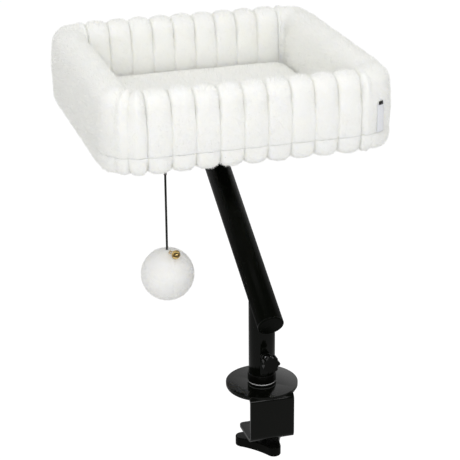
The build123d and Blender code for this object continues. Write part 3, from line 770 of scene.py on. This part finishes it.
mat_low, mat_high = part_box("floor_mat")
mat_t = mat_high[2] - mat_low[2]
mat_swell, mat_corner_r = 11 * mm, 24 * mm
mat_w, mat_d = mat_high[0] - mat_low[0] + mat_swell, mat_high[1] - mat_low[1] + mat_swell
mat_edge = round_square(mat_w, mat_d, mat_corner_r)
mat_mid = Vector(((mat_low[0] + mat_high[0]) / 2, (mat_low[1] + mat_high[1]) / 2, mat_low[2]))

# The mat's cross-section: inset in mm and share of its thickness, and then its top's share of the outline
mat_rim = [(60, 0), (22, 0), (8, 0.02), (3, 0.1), (0.7, 0.26), (0, 0.42), (0.6, 0.46), (0, 0.5),
           (0.8, 0.66), (3, 0.8), (8, 0.9), (16, 0.95)]
mat_top = [(0.8, 0.965), (0.6, 0.98), (0.4, 0.99), (0.2, 1.0), (0.05, 1.0)]
rings = []
for inset, rise in mat_rim:
    lift = Vector((0, 0, rise * mat_t))
    rings.append([mat_mid + point - facing * inset * mm + lift for point, facing in mat_edge])
for share, rise in mat_top:
    lift = Vector((0, 0, rise * mat_t))
    rings.append([mat_mid + (point - facing * 16 * mm) * share + lift for point, facing in mat_edge])
mat_mesh = closed_mesh("floor_mat_plush", rings, ends=False)
mat = piece_from("floor_mat_plush", mat_mesh, bed_plush, "swivel", ["floor_mat"])
smoothed(mat)
ruffled(mat, 22 * mm, 0.8 * mm)
piled(mat, "mat_pile", "swivel", bed_plush, low=-0.2, spacing=0.002)

# Corner tag: a blank strip of white woven satin that lies on the front right corner's pile, its top edge
# caught by a few black stitches.
satin = hard_finish("white_satin", (0.84, 0.85, 0.88), (0.8, 0.81, 0.85), smooth=0.3, rough=0.45,
                    grain=0.5 * mm, patch=10 * mm, bump=0.04 * mm)
corner_graph = bpy.context.evaluated_depsgraph_get()
corner_surface = BVHTree.FromObject(bpy.data.objects["rolled_front_right"], corner_graph)
outward, forward, half_run, reach = side_ways(0)
tag_axis = bed_mid + outward * (reach - corner_r) + forward * half_run
tag_low, tag_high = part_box("corner_tag")
tag_turn, tag_half_turn = 30, 6.2
tag_rows, tag_columns = 20, 16
well_outside = 0.09


def on_corner(turn, height, lift):
    """A point a little above the front right corner's pile, at a turn from the front and a height."""
    facing = outward * cos(radians(turn)) + forward * sin(radians(turn))
    start = tag_axis + facing * well_outside + Vector((0, 0, height))
    hit = corner_surface.ray_cast(start, -facing)[0]
    return hit + facing * lift


tag_rings = []
for row in range(tag_rows + 1):
    height = tag_low[2] + (tag_high[2] - tag_low[2]) * row / tag_rows
    curl = 1.6 * mm * (1 - row / tag_rows) ** 3
    turns = [tag_turn + tag_half_turn * (2 * step / tag_columns - 1) for step in range(tag_columns + 1)]
    front = [on_corner(turn, height, 0.9 * mm + curl) for turn in turns]
    back = [on_corner(turn, height, 0.5 * mm + curl) for turn in reversed(turns)]
    tag_rings.append(front + back)
piece_from("satin_tag", closed_mesh("satin_tag", tag_rings), satin, "swivel", ["corner_tag"])

# The tag's stitches come from one geometry tree: a short thread at even steps of a line
sewing, given, out = geometry_tree(
    "stitch_row", ("Stitch pitch", "Float", 0.003), ("Stitch length", "Float", 0.002),
    ("Thread radius", "Float", 0.0004))
path = new_node(sewing, "GeometryNodeMeshToCurve", {"Mesh": given["Geometry"]})
steps = new_node(sewing, "GeometryNodeCurveToPoints", {
    "Curve": path.outputs["Curve"], "Length": given["Stitch pitch"]}, mode="LENGTH")
thread = new_node(sewing, "GeometryNodeMeshUVSphere", {"Segments": 8, "Rings": 6, "Radius": 1.0})
stretch = new_node(sewing, "ShaderNodeCombineXYZ", {
    "X": given["Thread radius"], "Y": given["Thread radius"],
    "Z": math_node(sewing, "MULTIPLY", given["Stitch length"], 0.5)})
laid = new_node(sewing, "GeometryNodeInstanceOnPoints", {
    "Points": steps.outputs["Points"], "Instance": thread.outputs["Mesh"],
    "Rotation": steps.outputs["Rotation"], "Scale": stretch.outputs["Vector"]})
close_tree(sewing, laid.outputs["Instances"], given, out)

black_thread = hard_finish("black_thread", (0.01, 0.01, 0.012), (0.02, 0.02, 0.022), smooth=0.6, rough=0.7,
                           grain=0.3 * mm, patch=4 * mm, bump=0.05 * mm)
tack_rises = (-0.4, 0.8, 2.0, 3.2)
tack_half_turn, tack_points = 3, 9
tack = [on_corner(tag_turn + tack_half_turn * (step / 4 - 1), tag_high[2] + rise * mm, 1.5 * mm)
        for rise in tack_rises for step in range(tack_points)]
tack_lines = [(point, point + 1) for point in range(len(tack)) if (point + 1) % tack_points]
tack_mesh = bpy.data.meshes.new("tag_stitches")
tack_mesh.from_pydata(tack, tack_lines, [])
stitches = piece_from("tag_stitches", tack_mesh, black_thread, "swivel")
made_plain(stitches, sewing, {
    "Stitch pitch": 1.5 * mm, "Stitch length": 1.9 * mm, "Thread radius": 0.7 * mm})

# Toy's fittings: an eye with a flange is fixed under the bed, and a wire link hangs in it. They are nickel
# plated, and so is the bell's pellet.
nickel = hard_finish("nickel_plating", (0.75, 0.75, 0.73), (0.7, 0.69, 0.66), smooth=0.12, rough=0.22,
                     grain=0.5 * mm, patch=10 * mm, bump=0.01 * mm, metallic=1.0)
softened("toy_eye", "eye_plated", 0.1 * mm, nickel, "swivel", angle=50)
softened("toy_link", "link_plated", 0.1 * mm, nickel, "toy_link", angle=50)
softened("bell_pellet", "pellet_plated", 0.1 * mm, nickel, "bell", angle=50)

# Cord: a 3 mm round black braid, knotted to the link in a loop, and drawn tight by the ball that hangs
# from it.
braid, braid_surface = shader("black_braid", (0.012, 0.012, 0.012), 0.7, specular=0.3)
tree = braid.node_tree
strands = new_node(tree, "ShaderNodeTexWave", {
    "Vector": new_node(tree, "ShaderNodeTexCoord").outputs["Object"], "Scale": 420, "Distortion": 0.6},
    wave_type="BANDS", bands_direction="DIAGONAL").outputs["Fac"]
relief = new_node(tree, "ShaderNodeBump", {"Distance": 0.3 * mm, "Height": strands})
shade = new_node(tree, "ShaderNodeMix", {
    "Factor": strands, "A": (0.008, 0.008, 0.008, 1), "B": (0.02, 0.02, 0.02, 1)}, data_type="RGBA")
feed(tree, braid_surface, {"Base Color": shade.outputs["Result"], "Normal": relief.outputs[0]})

cord_top = Vector((-0.1045, 0.085, 0.2857))
cord_foot = Vector((-0.1045, 0.085, 0.17562))
cord_r = 1.5 * mm
line = bpy.data.curves.new("toy_cord_braid", "CURVE")
line.dimensions = "3D"
spline = line.splines.new("NURBS")
spline.points.add(4)
for point, share in zip(spline.points, (0, 0.25, 0.5, 0.75, 1)):
    point.co = (*cord_top.lerp(cord_foot, share), 1)
spline.order_u = 3
spline.use_endpoint_u = True
spline.resolution_u = 8
line.bevel_depth = cord_r
line.bevel_resolution = 5
line.use_fill_caps = True
line.materials.append(braid)
cord = bpy.data.objects.new("toy_cord_braid", line)
scene.collection.objects.link(cord)
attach(cord, "toy")
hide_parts("toy_cord")


def cord_rings(name, rings, around=40, thick=12):
    """One mesh of closed round rings of cord: each has a centre, an axis, a radius and the cord's radius."""
    points, faces = [], []
    for center, axis, radius, wire in rings:
        side = axis.orthogonal().normalized()
        other = axis.cross(side).normalized()
        first = len(points)
        for step in range(around):
            turn = 2 * pi * step / around
            facing = side * cos(turn) + other * sin(turn)
            here, after = first + step * thick, first + (step + 1) % around * thick
            for part in range(thick):
                tilt = 2 * pi * part / thick
                beside = (part + 1) % thick
                points.append(center + facing * (radius + wire * cos(tilt)) + axis * wire * sin(tilt))
                faces.append((here + part, after + part, after + beside, here + beside))
    return outward_mesh(name, points, faces)


loop_r, loop_wire = 0.0036, 0.00145
knot_r, knot_wire, knot_pitch = 0.0016, 0.00045, 0.0009
loop_rings = [(cord_top + Vector((0, 0, loop_r)), Vector((0, 1, 0)), loop_r, loop_wire)]
for turn in range(4):
    knot_center = cord_top - Vector((0, 0, knot_r + knot_pitch * turn))
    loop_rings.append((knot_center, Vector((0, 0, 1)), knot_r, knot_wire))
knot = piece_from("toy_cord_loop", cord_rings("toy_cord_loop", loop_rings), braid, "toy")

# Ball: four gores of shorter plush, sewn together and filled firmly. The cord goes in at its top and
# draws the plush down round it.
ball_low, ball_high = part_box("toy_ball")
ball_mid_z = 0.14075
ball_mid = Vector(((ball_low[0] + ball_high[0]) / 2, (ball_low[1] + ball_high[1]) / 2, ball_mid_z))
ball_r = 0.035
seam_dip, cord_dip = 0.0007, 0.0035
seam_width, cord_reach, pole_reach = 0.05, 0.11, 0.15
broad_lump, fine_lump = 0.00035, 0.0002
ball_plush = plush("ball_plush", (0.955, 0.95, 0.925), (0.91, 0.9, 0.85), tuft=1.8 * mm, clump=8 * mm,
                   relief_height=0.5 * mm)
ball_mesh = bpy.data.meshes.new("plush_ball")
shape = bmesh.new()
bmesh.ops.create_icosphere(shape, subdivisions=6, radius=ball_r)
for vertex in shape.verts:
    facing = vertex.co.normalized()
    from_pole = hypot(facing.x, facing.y)
    seam = min(abs(facing.x), abs(facing.y)) / max(pole_reach, from_pole)
    dip = seam_dip * max(0.0, 1 - seam / seam_width) * min(1.0, from_pole / pole_reach)
    crown = cord_dip * max(0.0, 1 - from_pole / cord_reach) ** 2 if facing.z > 0 else 0.0
    broad, small = broad_lump * noise.noise(facing * 9), fine_lump * noise.noise(facing * 22)
    vertex.co = facing * (ball_r - dip - crown + broad + small)
    vertex.co += ball_mid
for face in shape.faces:
    face.smooth = True
shape.to_mesh(ball_mesh)
shape.free()
ball = piece_from("plush_ball", ball_mesh, ball_plush, "toy", ["toy_ball"])
piled(ball, "ball_pile", "toy", ball_plush, low=-2.0, spacing=0.0014, length=0.0018)

# Bell: two gilt half shells pressed together round a pellet, with a link ring, held by a wire staple
# that is sewn into the ball.
gilt = hard_finish("gilt_brass", (0.9, 0.66, 0.28), (0.82, 0.56, 0.2), smooth=0.12, rough=0.2,
                   grain=0.5 * mm, patch=4 * mm, bump=0.01 * mm, metallic=1.0)
softened("bell_shell", "gilt_bell", 0.08 * mm, gilt, "bell", angle=50)
softened("ball_staple", "gilt_staple", 0.05 * mm, gilt, "toy", angle=50)

# Studio: a pale floor a desk's height below, a low strip light that draws the highlights on the tubes, a
# broad soft light that mirror images leave out and one overhead, in an even white room.
desk_height, floor_reach = 0.72, 30
floor_corners = [(across * floor_reach, along * floor_reach, -desk_height)
                 for across, along in ((-1, -1), (1, -1), (1, 1), (-1, 1))]
floor_mesh = bpy.data.meshes.new("floor")
floor_mesh.from_pydata(floor_corners, [], [(0, 1, 2, 3)])
floor = bpy.data.objects.new("floor", floor_mesh)
scene.collection.objects.link(floor)
pale = bpy.data.materials.new("pale_floor")
pale.use_nodes = True
tree = pale.node_tree
tree.nodes.clear()
matt = new_node(tree, "ShaderNodeBsdfDiffuse", {"Color": (0.85, 0.85, 0.85, 1)}).outputs[0]
faint = new_node(tree, "ShaderNodeBsdfDiffuse", {"Color": (0.3, 0.3, 0.3, 1)}).outputs[0]
glow = new_node(tree, "ShaderNodeEmission", {"Strength": 0.84}).outputs[0]
bright = new_node(tree, "ShaderNodeAddShader", {0: faint, 1: glow}).outputs[0]
dim = new_node(tree, "ShaderNodeEmission", {"Strength": 0.4}).outputs[0]
ray = new_node(tree, "ShaderNodeLightPath").outputs
mirrored = new_node(tree, "ShaderNodeMixShader", {0: ray["Is Glossy Ray"], 1: matt, 2: dim}).outputs[0]
choice = new_node(tree, "ShaderNodeMixShader", {0: ray["Is Camera Ray"], 1: mirrored, 2: bright}).outputs[0]
new_node(tree, "ShaderNodeOutputMaterial", {0: choice})
floor_mesh.materials.append(pale)

room = bpy.data.worlds.new("white_room")
scene.world = room
room.use_nodes = True
tree = room.node_tree
tree.nodes.clear()
direction = new_node(tree, "ShaderNodeSeparateXYZ", {
    0: new_node(tree, "ShaderNodeTexCoord").outputs["Generated"]})
depth = new_node(tree, "ShaderNodeMapRange", {
    "Value": direction.outputs["Y"], "From Min": -0.3, "From Max": 0.5, "To Min": 0.1, "To Max": 0.86},
    interpolation_type="SMOOTHSTEP")
ray = new_node(tree, "ShaderNodeLightPath").outputs
lit = math_node(tree, "MULTIPLY_ADD", ray["Is Camera Ray"], 0.36, 0.64)
strength = new_node(tree, "ShaderNodeMix", {
    "Factor": ray["Is Glossy Ray"], "A": lit, "B": depth.outputs["Result"]})
white = new_node(tree, "ShaderNodeBackground", {
    "Color": (1, 1, 1, 1), "Strength": strength.outputs["Result"]})
new_node(tree, "ShaderNodeOutputWorld", {0: white.outputs[0]})


def softbox(name, place, aim, width, height, power, mirrored=True):
    """An oblong area light that faces a point, and may be left out of mirror images."""
    lamp = bpy.data.lights.new(name, "AREA")
    lamp.shape = "RECTANGLE"
    lamp.size = width
    lamp.size_y = height
    lamp.energy = power
    light = bpy.data.objects.new(name, lamp)
    light.location = place
    light.visible_glossy = mirrored
    light.rotation_euler = (Vector(aim) - Vector(place)).to_track_quat("-Z", "Y").to_euler()
    scene.collection.objects.link(light)


softbox("strip_light", (-0.1, -1.95, 0.8), (0, 0.15, 0.2), width=2.6, height=0.26, power=9)
softbox("front_softbox", (-0.85, -1.95, 1.65), (0, 0.2, 0.33), width=1.5, height=1.3, power=15.5,
        mirrored=False)
softbox("overhead_softbox", (-0.5, 0.2, 2.4), (0, 0.2, 0.3), width=1.4, height=1.4, power=8)
scene.view_settings.view_transform = "Standard"
